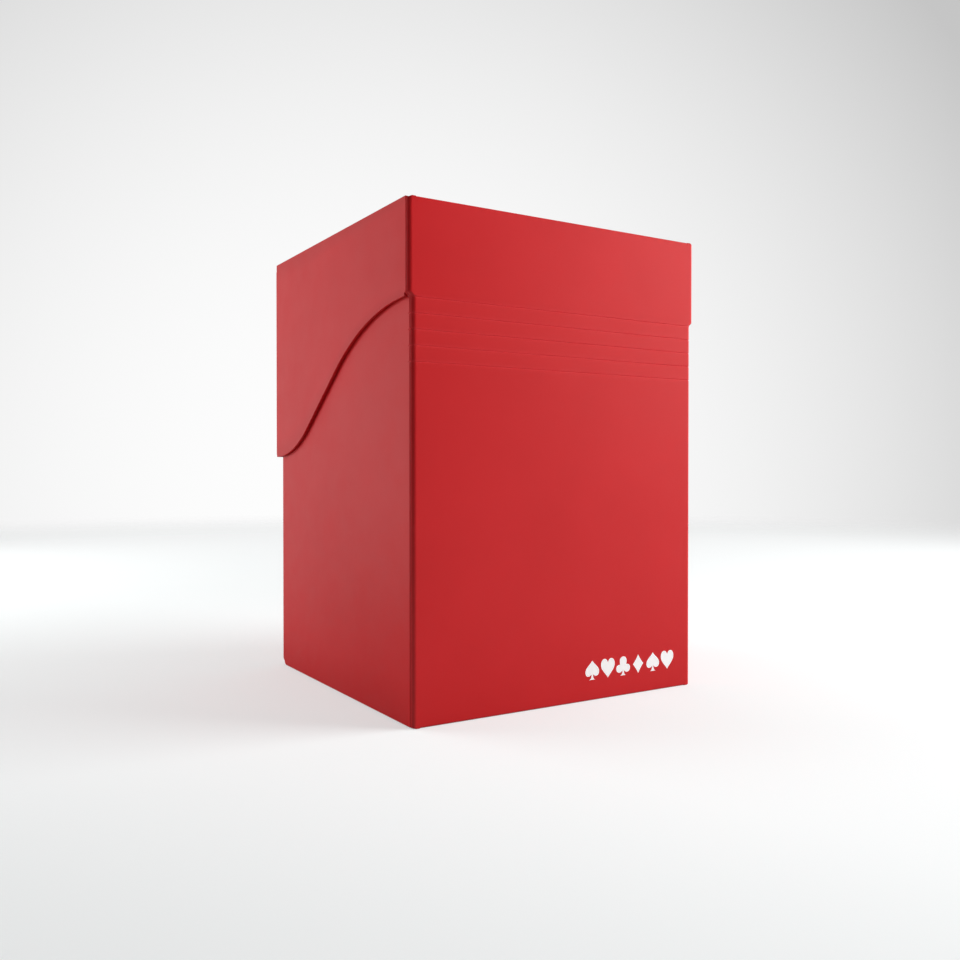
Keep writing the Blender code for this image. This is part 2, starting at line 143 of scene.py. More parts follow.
def sheet_mesh(outer, inner, free, keep=None, stress_and_painted_light=None, rim=RIM):
    """A closed sheet from grids of outer and inner points.

    keep(i, j) says which cells are there. Border edges named in free, and cut edges inside the grid, get a
    rounded rim; free may also be a function of (label, start, end). All other borders are closed square.
    """
    columns, rows = len(outer), len(outer[0])
    keep = keep or (lambda i, j: True)
    kept = {(i, j) for i in range(columns - 1) for j in range(rows - 1) if keep(i, j)}
    normal = {}

    def point_normal(key):
        if key not in normal:
            i, j = key
            normal[key] = (outer[i][j] - inner[i][j]).normalized()
        return normal[key]

    i, j = min(kept)
    across = (outer[i + 1][j] - outer[i][j]).cross(outer[i][j + 1] - outer[i][j])
    forward = across.dot(point_normal((i, j))) > 0

    is_free = free if callable(free) else (lambda label, a, b: label in free or label == "cut")
    edges = []
    for i, j in sorted(kept):
        sides = (
            ((i, j), (i + 1, j), (i, j - 1), "j0"),
            ((i + 1, j), (i + 1, j + 1), (i + 1, j), "i1"),
            ((i + 1, j + 1), (i, j + 1), (i, j + 1), "j1"),
            ((i, j + 1), (i, j), (i - 1, j), "i0"),
        )
        for a, b, neighbour, label in sides:
            if neighbour in kept:
                continue
            inside = 0 <= neighbour[0] < columns - 1 and 0 <= neighbour[1] < rows - 1
            loose = is_free("cut" if inside else label, a, b)
            edges.append((a, b, loose) if forward else (b, a, loose))

    outward = {}
    for a, b, loose in edges:
        if not loose:
            continue
        along = (outer[b[0]][b[1]] - outer[a[0]][a[1]]).normalized()
        for key in (a, b):
            side = along.cross(point_normal(key)).normalized()
            outward.setdefault(key, []).append(side)

    mesh = bmesh.new()
    # Per-point value: stress whitening on creases, a painted highlight on fold ridges, painted shade in the
    # scores and on the cut edges.
    stress_and_light_layer = mesh.verts.layers.float.new("stress_and_painted_light")
    rings = {}

    def ring(key):
        if key in rings:
            return rings[key]
        i, j = key
        out, inn, n = outer[i][j], inner[i][j], point_normal(key)
        if key in outward:
            sides = outward[key]
            mitre = sum(sides, Vector())
            if len(sides) > 1:
                mitre /= 1 + max(sides[0].dot(sides[1]), -0.4)
            rounding = [(1 - math.sin(a), 1 - math.cos(a)) for a in map(math.radians, (0, 30, 60, 90))]
            places = [out - mitre * rim * back - n * rim * down for back, down in rounding]
            places += [inn - mitre * rim * back + n * rim * down for back, down in reversed(rounding)]
        else:
            places = [out, inn]
        made = [mesh.verts.new(place) for place in places]
        amount = stress_and_painted_light[i][j] if stress_and_painted_light else 0.0
        for vert in made:
            # Rounded cut edges get painted shade; other points keep their own value.
            vert[stress_and_light_layer] = RIM_PAINTED_SHADE if key in outward else amount
        rings[key] = made
        return made

    for i, j in sorted(kept):
        corners = [ring(key) for key in ((i, j), (i + 1, j), (i + 1, j + 1), (i, j + 1))]
        mesh.faces.new([r[0] for r in corners])
        mesh.faces.new([r[-1] for r in reversed(corners)])
    for a, b, loose in edges:
        ring_a, ring_b = ring(a), ring(b)
        if loose:
            for k in range(len(ring_a) - 1):
                mesh.faces.new((ring_a[k], ring_a[k + 1], ring_b[k + 1], ring_b[k]))
        else:
            mesh.faces.new([*ring_a, *reversed(ring_b)])
    bmesh.ops.recalc_face_normals(mesh, faces=mesh.faces)
    return mesh


def add_piece(name, mesh, body, material, nodes=()):
    """Turns the mesh into a visible piece that rides on the body and replaces the CAD nodes."""
    open_edges = sum(1 for e in mesh.edges if len(e.link_faces) != 2)
    if open_edges:
        print("OPEN", name, open_edges)
    data = bpy.data.meshes.new(name)
    for face in mesh.faces:
        face.smooth = True
    mesh.to_mesh(data)
    mesh.free()
    data.set_sharp_from_angle(angle=math.radians(SHARP_ANGLE))
    piece = bpy.data.objects.new(name, data)
    bpy.context.scene.collection.objects.link(piece)
    data.materials.append(material)
    weighted = piece.modifiers.new("face_weighted_normals", "WEIGHTED_NORMAL")
    weighted.keep_sharp = True
    weighted.weight = 70
    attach(piece, body)
    if nodes:
        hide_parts(*nodes)


# ---------------------------------------------------------------- fold and crease profiles


def fold_profile(score_at=SCORE_AT):
    """Stations round a right-angled fold: angle, how far the outer face is pressed in, and the painted value
    (painted shade in the score, stress whitening with a painted highlight on the ridge).
    """
    result = []
    for k in range(FOLD_STEPS + 1):
        angle = QUARTER * k / FOLD_STEPS
        score = math.exp(-(((math.degrees(angle) - score_at) / SCORE_WIDTH) ** 2))
        ridge = math.exp(-(((math.degrees(angle) - score_at - RIDGE_STEP) / SCORE_WIDTH) ** 2))
        # Painted shade in the score; stress whitening with a painted highlight on the ridge beyond it.
        result.append((angle, SCORE_DEPTH * score, RIDGE_STRESS_AND_HIGHLIGHT * ridge - score))
    return result


def wrap(half, flat_stations):
    """Horizontal section round the rear: right land, right fold, rear face, left fold, left land."""
    profile = fold_profile()
    section = [(Vector((half, BACK - SEAM)), Vector((1, 0)), 0.0, 0.0)]
    for angle, depth, stress_and_painted_light in profile:
        n = Vector((math.cos(angle), math.sin(angle)))
        centre = Vector((half - FOLD, BACK - FOLD))
        section.append((centre + n * FOLD, n, depth, stress_and_painted_light))
    for x in sorted(flat_stations, reverse=True):
        section.append((Vector((x * (half - FOLD), BACK)), Vector((0, 1)), 0.0, 0.0))
    for angle, depth, stress_and_painted_light in reversed(profile):
        n = Vector((-math.cos(angle), math.sin(angle)))
        centre = Vector((-half + FOLD, BACK - FOLD))
        section.append((centre + n * FOLD, n, depth, stress_and_painted_light))
    section.append((Vector((-half, BACK - SEAM)), Vector((-1, 0)), 0.0, 0.0))
    return section


def flats(fold_half, half):
    """Stations across the flat as shares of it, with a slit at each end of the horizontal fold."""
    edge = (fold_half + SLIT / 2 - HAIRLINE) / (half - FOLD)
    slit = (fold_half + SLIT / 2 + HAIRLINE) / (half - FOLD)
    return [-slit, -edge, *[edge * k / 12 for k in range(-11, 12)], edge, slit]


TRAY_FLATS = flats(FLOOR_FLAP - FOLD, TRAY_SIDE)
LID_FLATS = flats(LID_FLAP - FOLD, LID_SIDE)
SLIT_COLUMN = FOLD_STEPS + 2    # the column at the slit's outer side
LAST_COLUMN = 2 * SLIT_COLUMN + len(TRAY_FLATS) - 1


def crease_rows(crease, upward):
    """Rows from the panel to the web's rounded tip: height, outer recess, inner recess, stress whitening."""
    sign = 1 if upward else -1
    deep = SHEET - CREASE_DEPTH - WEB
    rows = [
        (crease + sign * CREASE_REACH, 0.0, 0.0, 0.0),
        (crease + sign * (INNER_HALF + 0.04 * MM), 0.0, 0.0, 0.35),
        (crease + sign * INNER_HALF, 0.0, 0.02 * MM, 0.5),
        (crease + sign * (GROOVE_HALF + 0.03 * MM), 0.004 * MM, 0.4 * deep, 0.7),
        (crease + sign * GROOVE_HALF, 0.012 * MM, 0.58 * deep, 0.9),
        (crease + sign * 0.085 * MM, 0.05 * MM, 0.8 * deep, 1.0),
        (crease + sign * ROOT_HALF, CREASE_DEPTH * 0.95, deep, 1.0),
        (crease, CREASE_DEPTH, deep, 1.0),
    ]
    half = WEB / 2
    for angle in (30, 60, 82):
        a = math.radians(angle)
        drop = half * (1 - math.cos(a))
        rows.append((crease - sign * half * math.sin(a), CREASE_DEPTH + drop, deep + drop, 1.0))
    return rows


def in_middle(i):
    """Whether a column lies between the two slits."""
    return SLIT_COLUMN < i < LAST_COLUMN - SLIT_COLUMN


def stronger(a, b):
    """Of two values of stress whitening and painted light, the one further from zero."""
    return a if abs(a) > abs(b) else b


def rear_piece(name, body, rows, half_at, material, node, keep=None, tail=None, free=(),
               stations=TRAY_FLATS):
    """A rear panel or strip swept round both vertical folds. half_at(z) is its half width."""
    outer, inner, stress_and_painted_light = [], [], []
    sections = [wrap(half_at(row[0]), stations) for row in rows]
    for i in range(len(sections[0])):
        outer.append([])
        inner.append([])
        stress_and_painted_light.append([])
        for row, section in zip(rows, sections):
            z, recess, inner_recess, row_wear = row
            point, n, depth, fold_stress_and_light = section[i]
            groove = recess + depth * (1 - min(recess / CREASE_DEPTH, 1.0))
            n3 = Vector((n.x, n.y, 0))
            at = Vector((point.x, point.y, z))
            outer[-1].append(at - n3 * groove)
            inner[-1].append(at - n3 * (SHEET - inner_recess))
            stress_and_painted_light[-1].append(stronger(row_wear, fold_stress_and_light))
    if tail:
        tail(sections[0], outer, inner, stress_and_painted_light)
    if body == "lid":
        for i, (point, n, depth, fold_stress_and_light) in enumerate(sections[-1]):
            dip = FOLD_DIP * (2 * abs(n.x * n.y)) ** 1.5
            for grid in (outer, inner):
                grid[i][-1].z -= dip
                grid[i][-2].z -= dip / 2
    add_piece(name, sheet_mesh(outer, inner, free, keep, stress_and_painted_light), body, material, (node,))


def bottom_tail(section, outer, inner, stress_and_painted_light):
    """Turns the middle of the rear panel under the box and takes its vertical folds straight down."""
    for i, (point, n, depth, fold_stress_and_light) in enumerate(section):
        flat = Vector((n.x, n.y, 0))
        below, below_in, below_stress_and_light = [], [], []
        if in_middle(i):
            centre = Vector((point.x, BACK - FOLD, FOLD))
            for angle, score, amount in fold_profile(SCORE_AT_EDGE)[1:]:
                direction = flat * math.cos(angle) - Vector((0, 0, 1)) * math.sin(angle)
                corner = (flat - Vector((0, 0, 1))) * (FOLD - EDGE_ROUND)
                below.append(centre + corner + direction * (EDGE_ROUND - score * EDGE_SCORE))
                below_in.append(centre + direction * (FOLD - SHEET))
                below_stress_and_light.append(amount)
            end = centre - Vector((0, 0, FOLD)) - flat * (SEAM - FOLD)
            below.append(end)
            below_in.append(end + Vector((0, 0, SHEET)))
            below_stress_and_light.append(0.0)
        else:
            for z in steps(FOLD, SIDE_LIFT * abs(n.x), FOLD_STEPS + 1)[1:]:
                at = Vector((point.x, point.y, z))
                below.append(at - flat * depth)
                below_in.append(at - flat * SHEET)
                below_stress_and_light.append(fold_stress_and_light)
        outer[i][:0] = below[::-1]
        inner[i][:0] = below_in[::-1]
        stress_and_painted_light[i][:0] = below_stress_and_light[::-1]


def build_rear(material, strip_material):
    """The rear wall, the four hinge bands and the lid's rear wall."""
    tail_rows = FOLD_STEPS + 1
    lower = [(z * MM, 0.0, 0.0, 0.0) for z in (1.0, 1.3, 3, 12, 30, 50, 66)]
    rows = lower + crease_rows(CREASES[0], False)
    slits = (SLIT_COLUMN, LAST_COLUMN - SLIT_COLUMN - 1)

    def keep(i, j):
        return i not in slits or j > tail_rows

    def free(label, a, b):
        return label == "j0" and not (in_middle(a[0]) or in_middle(b[0]))

    rear_piece("rear_wall", "tray", rows, lambda z: TRAY_SIDE, material, "back_panel",
               keep, bottom_tail, free)
    for k in range(4):
        rows = crease_rows(CREASES[k], True)[::-1] + crease_rows(CREASES[k + 1], False)
        rear_piece(f"hinge_band_{k + 1}", f"strip_{k + 1}", rows, lambda z: TRAY_SIDE, strip_material,
                   f"hinge_strip_{k + 1}")

    # The lid is wider than the tray: its rear wall widens in a short ramp just above the top crease.
    widening = (CREASES[4] + 0.12 * MM, CREASES[4] + 0.85 * MM)

    def half_at(z):
        share = (z - widening[0]) / (widening[1] - widening[0])
        return TRAY_SIDE + (LID_SIDE - TRAY_SIDE) * min(max(share, 0.0), 1.0)

    rows = crease_rows(CREASES[4], True)[::-1]
    rows += [(CREASES[4] + h * MM, 0.0, 0.0, 0.0) for h in (0.74, 0.85, 0.97, 3, 9)]
    rows += [(HEIGHT - h, 0.0, 0.0, 0.0) for h in (SEAM, SEAM / 2, 0.0)]
    seam_row = len(rows) - 3

    def keep_top(i, j):
        return j < seam_row or i < SLIT_COLUMN or i >= LAST_COLUMN - SLIT_COLUMN

    def free_top(label, a, b):
        return label == "j1"

    rear_piece("lid_rear_wall", "lid", rows, half_at, material, "lid_back_panel",
               keep_top, None, free_top, LID_FLATS)


# ---------------------------------------------------------------- flat panels


def panel(name, body, node, us, vs_at, place, normal, material):
    """A flat panel: columns at us, each from vs_at(u)[0] to vs_at(u)[1], put in space by place(u, v)."""
    n = Vector(normal)
    outer, inner = [], []
    for u in us:
        v_low, v_high = vs_at(u)
        outer.append([place(u, v_low + (v_high - v_low) * share) for share in steps(0, 1, 10)])
        inner.append([at - n * SHEET for at in outer[-1]])
    add_piece(name, sheet_mesh(outer, inner, ("j0", "j1")), body, material, nodes=(node,))


def upright(name, body, node, us, column_at, y, free, material, welds=(), rim=RIM):
    """A panel that faces forward at y, with heights column_at(u) at each of us, and its weld marks."""
    n = Vector((0, -1, 0))
    dents = [dent(u, v) for u, v in welds]
    outer, inner = [], []
    for u in us:
        column = column_at(u)
        outer.append([Vector((u, y, v)) - n * sum(d(u, v) for d in dents) for v in column])
        inner.append([Vector((u, y, v)) - n * SHEET for v in column])
    add_piece(name, sheet_mesh(outer, inner, free, rim=rim), body, material, (node,))


def arc_steps(radius, count):
    """Distances from the end of an edge to the stations in its round corner."""
    return [radius * (1 - math.cos(QUARTER * k / count)) for k in range(count + 1)]


def arc_drop(near, radius):
    """How far a round corner takes the edge away at this distance from the end."""
    if near >= radius:
        return 0.0
    return radius - math.sqrt(max(radius * radius - (radius - near) ** 2, 0.0))


def corner_drop(u, start, end, radius):
    return arc_drop(min(u - start, end - u), radius)


def corner_stations(start, end, radius, inner_count, count=5):
    """Stations from start to end, close together in the round corners."""
    ends = arc_steps(radius, count)
    return merged([start + d for d in ends], [end - d for d in ends],
                  steps(start + radius * 1.2, end - radius * 1.2, inner_count))


def small_corners(side):
    """Stations in the small round corners at both ends of a panel."""
    stations = corner_stations(-side, side, CORNER, 1)
    return stations[:6] + stations[-6:]


def lid_curve(front):
    """The lid side's lower edge from front to rear, as in the frame."""
    fall = LID_REAR_LOW - LID_LOW
    run = BACK - front
    radii = LID_UPPER_ARC + LID_LOWER_ARC
    straight = math.sqrt(run * run + fall * fall - 2 * radii * fall)
    slope = math.atan2(radii * run - straight * (radii - fall), straight * run + radii * (radii - fall))
    points = []
    for k in range(25):
        a = -QUARTER + slope * k / 24
        points.append((front + LID_LOWER_ARC * math.cos(a), LID_LOW + LID_LOWER_ARC * (1 + math.sin(a))))
    for k in range(49):
        a = QUARTER + slope * (1 - k / 48)
        points.append((BACK + LID_UPPER_ARC * math.cos(a), LID_REAR_LOW - LID_UPPER_ARC * (1 - math.sin(a))))
    return points


def curve_height(curve, u):
    """The curve's height at u."""
    for (u0, v0), (u1, v1) in zip(curve, curve[1:]):
        if u <= u1:
            return v0 + (v1 - v0) * (u - u0) / (u1 - u0) if u1 > u0 else v0
    return curve[-1][1]


def build_sides(material):
    """The tray's side walls and the lid's sides."""
    front = FRONT_TAB + SEAM
    rear = BACK - SEAM
    crown = 8.0 * MM
    rear_crown = 2.0 * MM
    toe = SEAM - CLEAR
    us = merged([front + d for d in arc_steps(toe, 6)],
                [front + d for d in arc_steps(crown, 14) if front + d > front + toe],
                [rear - d for d in arc_steps(rear_crown, 8)], steps(front + crown, rear - rear_crown, 8))

    def tray_range(u):
        top = TRAY_SIDE_TOP - arc_drop(u - front, crown) - arc_drop(rear - u, rear_crown)
        return SIDE_LIFT + arc_drop(u - front, toe) * (toe - SIDE_LIFT) / toe, top

    curve = lid_curve(LID_FRONT_TAB + SEAM)
    lid_us = merged([u for u, v in curve if u < rear - CLEAR], [rear])
    for label, side in (("left", -1), ("right", 1)):
        panel(f"tray_side_{label}", "tray", f"side_panel_{label}", us, tray_range,
              lambda u, v: Vector((side * TRAY_SIDE, u, v)), (side, 0, 0), material)
        panel(f"lid_flank_{label}", "lid", f"lid_side_{label}", lid_us,
              lambda u: (curve_height(curve, u), HEIGHT),
              lambda u, v: Vector((side * LID_SIDE, u, v)), (side, 0, 0), material)


WELD_RADIUS = 1.3 * MM
WELD_DEPTH = 0.05 * MM
TRAY_WELD_U, TRAY_WELD_V = 28.6 * MM, (12 * MM, 36 * MM, 60 * MM)
LID_WELD_U, LID_WELD_V = 29.4 * MM, (60 * MM, 75 * MM, 90 * MM)


def weld_places(u, vs):
    return [(side * u, v) for side in (-1, 1) for v in vs]


def dent(centre_u, centre_v):
    """A shallow round weld mark with a soft rim: how far the face is pressed in at (u, v)."""
    def press(u, v):
        r = math.hypot(u - centre_u, v - centre_v) / WELD_RADIUS
        return WELD_DEPTH * (1 - r * r) ** 2 * (2.2 * r * r + 0.35) if r < 1 else 0.0
    return press


def dent_stations(start, end, centres, coarse):
    """Stations with fine steps where the weld marks are."""
    fine = [c + WELD_RADIUS * k / 6 for c in centres for k in range(-7, 8)]
    between = [v for v in steps(start, end, coarse) if all(abs(v - c) > WELD_RADIUS * 1.3 for c in centres)]
    return merged(between, fine, [start, end])


def build_tray_front(material):
    """The tray's front with its thumb notch: one large arc and a small fillet at each end of it."""
    side = TRAY_SIDE - FOLD / 2
    half, depth, fillet = 11.0 * MM, 9.0 * MM, 1.0 * MM
    radius = (half * half + depth * depth) / (2 * depth)
    centre = TRAY_FRONT_TOP - depth + radius
    rise = centre - TRAY_FRONT_TOP + fillet
    reach = math.sqrt((radius + fillet) ** 2 - rise ** 2)
    touch = reach * radius / (radius + fillet)

    def top(u):
        a = abs(u)
        if a <= touch:
            return centre - math.sqrt(radius * radius - a * a)
        if a < reach:
            return TRAY_FRONT_TOP - fillet + math.sqrt(max(fillet ** 2 - (reach - a) ** 2, 0.0))
        return TRAY_FRONT_TOP - corner_drop(u, -side, side, CORNER)

    notch = [radius * math.sin(math.asin(touch / radius) * k / 16) for k in range(-16, 17)]
    rounding = [s * (reach - fillet * math.cos(t)) for s in (-1, 1)
                for t in steps(math.asin(rise / (radius + fillet)), QUARTER, 6)]
    land = dent_stations(-side, side, (-TRAY_WELD_U, TRAY_WELD_U), 30)
    us = merged(notch, rounding, [u for u in land if abs(u) > reach + 0.3 * MM], small_corners(side))
    heights = dent_stations(SEAM, top(0) - 2 * MM, TRAY_WELD_V, 14)
    upright("tray_front", "tray", "front_panel", us, lambda u: [*heights, top(u)], TRAY_FRONT,
            ("i0", "i1", "j1"), material, weld_places(TRAY_WELD_U, TRAY_WELD_V))


def build_lid_front(material):
    side = LID_SIDE - FOLD / 2
    us = merged(dent_stations(-side, side, (-LID_WELD_U, LID_WELD_U), 24), small_corners(side))
    heights = dent_stations(LID_LOW + 1.5 * MM, HEIGHT - SEAM, LID_WELD_V, 12)
    upright("lid_front", "lid", "lid_front_panel", us,
            lambda u: [LID_LOW + corner_drop(u, -side, side, CORNER), *heights], LID_FRONT,
            ("i0", "i1", "j0"), material, weld_places(LID_WELD_U, LID_WELD_V))


# ---------------------------------------------------------------- folded panels


def folded(name, body, node, path, stations_at, place, free, material, keep=None):
    """A sheet swept along a 2-D path of (a, b, normal a, normal b, recess, wear).

    Each path point has its own length stations, stations_at(a, b).
    """
    outer, inner, stress_and_painted_light = [], [], []
    for a, b, na, nb, recess, amount in path:
        n = place(na, nb, 0) - place(0, 0, 0)
        line = [place(a, b, s) for s in stations_at(a, b)]
        outer.append([at - n * recess for at in line])
        inner.append([at - n * SHEET for at in line])
        stress_and_painted_light.append([amount] * len(line))
    add_piece(name, sheet_mesh(outer, inner, free, keep, stress_and_painted_light), body, material, nodes=(node,))


def flap_path(side, face_a, face_b, direction, depth):
    """From a horizontal panel's seam round the fold and along the flap. b runs along it by direction."""
    path = [(side * (face_a - SEAM), face_b, 0, -direction, 0.0, 0.0)]
    for angle, recess, stress_and_painted_light in fold_profile():
        path.append((
            side * (face_a - FOLD + FOLD * math.sin(angle)),
            face_b + direction * (FOLD - FOLD * math.cos(angle)),
            side * math.sin(angle),
            -direction * math.cos(angle),
            recess,
            stress_and_painted_light,
        ))
    for share in steps(0, 1, 8)[1:]:
        along = FOLD + (depth - FOLD) * share
        path.append((side * face_a, face_b + direction * along, side, 0, 0.0, 0.0))
    return path


def flap_stations(face_b, start, end, depth, count=40):
    """Length stations of a flap, drawn in towards its free edge."""
    def at(a, b):
        out = max(abs(b - face_b) - FOLD, 0.0) / (depth - FOLD)
        return steps(start + TAB_TAPER * out, end - TAB_TAPER * out, count)
    return at


def tab_path(side, outer_a, face_b, direction):
    """From the wall's seam round the fold to the tab's inner edge. b grows away from the tab's face."""
    path = [(side * outer_a, face_b + direction * SEAM, side, 0, 0.0, 0.0)]
    for angle, recess, stress_and_painted_light in fold_profile():
        path.append((
            side * (outer_a - FOLD + FOLD * math.cos(angle)),
            face_b + direction * (FOLD - FOLD * math.sin(angle)),
            side * math.cos(angle),
            -direction * math.sin(angle),
            recess,
            stress_and_painted_light,
        ))
    for share in steps(0, 1, 6)[1:]:
        path.append((side * (outer_a - FOLD - TAB_DEPTH * share), face_b, 0, -direction, 0.0, 0.0))
    return path


def tab_stations(outer_a, start, end, count=10):
    """Length stations of a tab, drawn in towards its inner edge."""
    def at(a, b):
        inwards = max(outer_a - FOLD - abs(a), 0.0) / TAB_DEPTH
        return steps(start + TAB_TAPER * inwards, end - TAB_TAPER * inwards, count)
    return at


def build_tabs(material):
    """The flaps of the floor and the lid's top inside the sides, and the sides' flaps behind the fronts."""
    floor_depth = high("bottom_tab_right").z
    lid_depth = HEIGHT - low("lid_top_tab_right").z

    def flap(name, body, node, path, stations, place):
        folded(name, body, node, path, stations, place, ("j0", "j1", "i1"), material)

    def lid_front_stations(a, b):
        """The lid's front fold ends in a rounded corner; the flap behind it stays below the lid's top."""
        share = (abs(a) - LID_SIDE + FOLD) / FOLD
        if share > 0.3:
            return steps(LID_LOW, HEIGHT - 1.4 * MM * (1 - min(share, 1.0)), 10)
        return tab_stations(LID_SIDE, LID_LOW, HEIGHT - SEAM - CLEAR)(a, b)

    def lengthwise(a, b, s):
        return Vector((a, s, b))

    def standing(a, b, s):
        return Vector((a, b, s))

    for label, side in (("left", -1), ("right", 1)):
        box_low, box_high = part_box(f"bottom_tab_{label}")
        flap(f"floor_tab_{label}", "tray", f"bottom_tab_{label}",
             flap_path(side, FLOOR_FLAP, 0.0, 1, floor_depth),
             flap_stations(0.0, box_low.y, box_high.y, floor_depth), lengthwise)
        flap(f"tray_front_tab_{label}", "tray", f"front_tab_{label}",
             tab_path(side, TRAY_SIDE, FRONT_TAB, 1),
             tab_stations(TRAY_SIDE, SEAM - CLEAR, high("front_tab_right").z), standing)
        box_low, box_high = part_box(f"lid_top_tab_{label}")
        flap(f"lid_top_flap_{label}", "lid", f"lid_top_tab_{label}",
             flap_path(side, LID_FLAP, HEIGHT, -1, lid_depth),
             flap_stations(HEIGHT, box_low.y, box_high.y, lid_depth), lengthwise)
        flap(f"lid_front_flap_{label}", "lid", f"lid_front_tab_{label}",
             tab_path(side, LID_SIDE, LID_FRONT_TAB, 1), lid_front_stations, standing)


def crosswise(a, b, s):
    return Vector((s, a, b))


def build_floor_panel(material):
    """The bottom: flat, then the fold up into the tray front. It is narrower between the two flaps."""
    wide, narrow = FLOOR_FLAP, FLOOR_FLAP - SEAM
    flap_from, flap_to = low("bottom_tab_right").y, high("bottom_tab_right").y
    step_y = flap_from - SLIT
    flat = merged(steps(TRAY_FRONT + FOLD, BACK - SEAM, 20), [step_y, flap_from, flap_to])
    path = [(y, 0.0, 0, -1, 0.0, 0.0) for y in reversed(flat)]
    for angle, recess, stress_and_painted_light in fold_profile()[1:]:
        path.append((TRAY_FRONT + FOLD - FOLD * math.sin(angle), FOLD - FOLD * math.cos(angle),
                     -math.sin(angle), -math.cos(angle), recess, stress_and_painted_light))
    path.append((TRAY_FRONT, SEAM, -1, 0, 0.0, 0.0))
    xs = [-wide, *steps(-narrow, narrow, 24), wide]

    def keep(i, j):
        return 0 < j < len(xs) - 2 or path[i][0] < step_y + NEAR

    def free(label, a, b):
        if label == "cut" and a[1] == b[1]:
            middle = (path[a[0]][0] + path[b[0]][0]) / 2
            return not flap_from < middle < flap_to
        return label in ("cut", "j0", "j1")

    folded("floor_panel", "tray", "bottom_panel", path, lambda a, b: xs, crosswise, free, material, keep)


def build_lid_top(material):
    """The lid's top: the rear fold, the flat and the front fold, also narrower between its flaps."""
    wide, narrow, rear_half = LID_FLAP, LID_FLAP - SEAM, LID_FLAP - FOLD + SLIT / 2 - HAIRLINE
    flap_from, flap_to = low("lid_top_tab_right").y, high("lid_top_tab_right").y
    front_step, rear_step = flap_from - SLIT, flap_to + SLIT
    path = [(BACK, HEIGHT - SEAM, 1, 0, 0.0, 0.0)]
    for angle, recess, stress_and_painted_light in fold_profile(SCORE_AT_EDGE):
        across, up = math.cos(angle), math.sin(angle)
        bulge = min((FOLD - EDGE_ROUND) * (across + up - 1), FOLD / max(across, up) - FOLD)
        path.append((BACK - FOLD + FOLD * across, HEIGHT - FOLD + FOLD * up, across, up,
                     recess * EDGE_SCORE - bulge, stress_and_painted_light))
    flat = merged(steps(LID_FRONT + FOLD, BACK - FOLD, 20), [front_step, flap_from, flap_to, rear_step])
    path += [(y, HEIGHT, 0, 1, 0.0, 0.0) for y in reversed(flat[1:-1])]
    for angle, recess, stress_and_painted_light in reversed(fold_profile()):
        path.append((LID_FRONT + FOLD - FOLD * math.cos(angle), HEIGHT - FOLD + FOLD * math.sin(angle),
                     -math.cos(angle), math.sin(angle), recess, stress_and_painted_light))
    path.append((LID_FRONT, HEIGHT - SEAM, -1, 0, 0.0, 0.0))
    xs = [-wide, -rear_half, *steps(-narrow, narrow, 24), rear_half, wide]

    def keep(i, j):
        y = path[i][0]
        if j in (0, len(xs) - 2):
            return y < front_step + NEAR
        if j in (1, len(xs) - 3):
            return y < front_step + NEAR or path[i + 1][0] > rear_step - NEAR
        return True

    def free(label, a, b):
        if label == "cut" and a[1] == b[1]:
            middle = (path[a[0]][0] + path[b[0]][0]) / 2
            return flap_to < middle < rear_step or front_step < middle < flap_from
        return label in ("cut", "j0", "j1")

    folded("lid_top", "lid", "lid_top_panel", path, lambda a, b: xs, crosswise, free, material, keep)


def build_divider(material):
    """The loose card divider, with round upper corners and a raised middle."""
    box_low, box_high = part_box("card_divider")
    side = box_high.x
    rise, tab = 5.0 * MM, 15.0 * MM
    shoulder = box_high.z - rise
    corner, bend = 4.0 * MM, 2.4 * MM

    def top(u):
        a = abs(u)
        if side - a < corner:
            return shoulder - arc_drop(side - a, corner)
        share = (tab + rise + bend * 0.5 - a) / (rise + bend)
        share = min(max(share, 0.0), 1.0)
        return shoulder + rise * share * share * (3 - 2 * share)

    slope = steps(tab - bend, tab + rise + bend, 18)
    us = merged(corner_stations(-side, side, corner, 10, 7), slope, [-u for u in slope], small_corners(side))
    heights = steps(box_low.z + 3 * MM, shoulder - 5 * MM, 6)
    upright("divider_card", "divider", "card_divider", us,
            lambda u: [box_low.z + corner_drop(u, -side, side, CORNER), *heights, top(u)], box_low.y,
            ("i0", "i1", "j0", "j1"), material, rim=DIVIDER_RIM)


# ---------------------------------------------------------------- printed mark

PIPS = 6
MARK_LOW = 4.3 * MM
MARK_TALL = 4.05 * MM
MARK_FROM = -5.2 * MM
MARK_TO = -30.4 * MM


def bezier(points, count=10):
    """Points on a closed chain of cubic curves given as (start, handle, handle) triples."""
    result = []
    for k, (p0, h0, h1) in enumerate(points):
        p1 = points[(k + 1) % len(points)][0]
        for s in range(count):
            t = s / count
            m = 1 - t
            result.append(tuple(
                m ** 3 * a + 3 * m * m * t * b + 3 * m * t * t * c + t ** 3 * d
                for a, b, c, d in zip(p0, h0, h1, p1)
            ))
    return result


